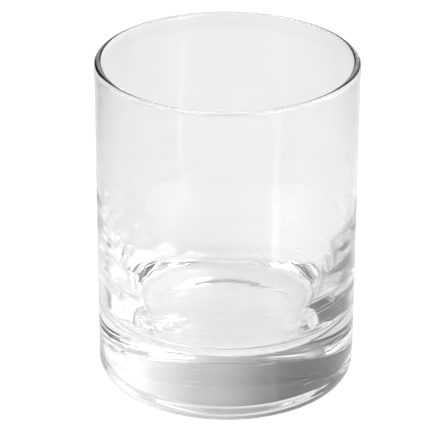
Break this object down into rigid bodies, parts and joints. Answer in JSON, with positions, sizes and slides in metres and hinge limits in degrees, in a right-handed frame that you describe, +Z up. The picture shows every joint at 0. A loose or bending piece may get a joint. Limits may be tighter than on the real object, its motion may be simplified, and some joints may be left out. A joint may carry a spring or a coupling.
{
  "type": "whiskey tumbler",
  "caption": "Clear glass whiskey tumbler with upright sides, a rounded lip, a swelling lower wall and a thick solid base.",
  "frame": {"origin": "centre of the plane that the tumbler rests on", "axes": "+Z up the tumbler's axis and out of its mouth; X and Y are any two directions square to it"},
  "size_m": [0.076, 0.076, 0.0975],
  "materials": {
    "clear_glass": "clear colourless soda-lime glass, fire-polished, smooth"
  },
  "bodies": {
    "root": {"glass_tumbler": "clear_glass"}
  },
  "joints": []
}
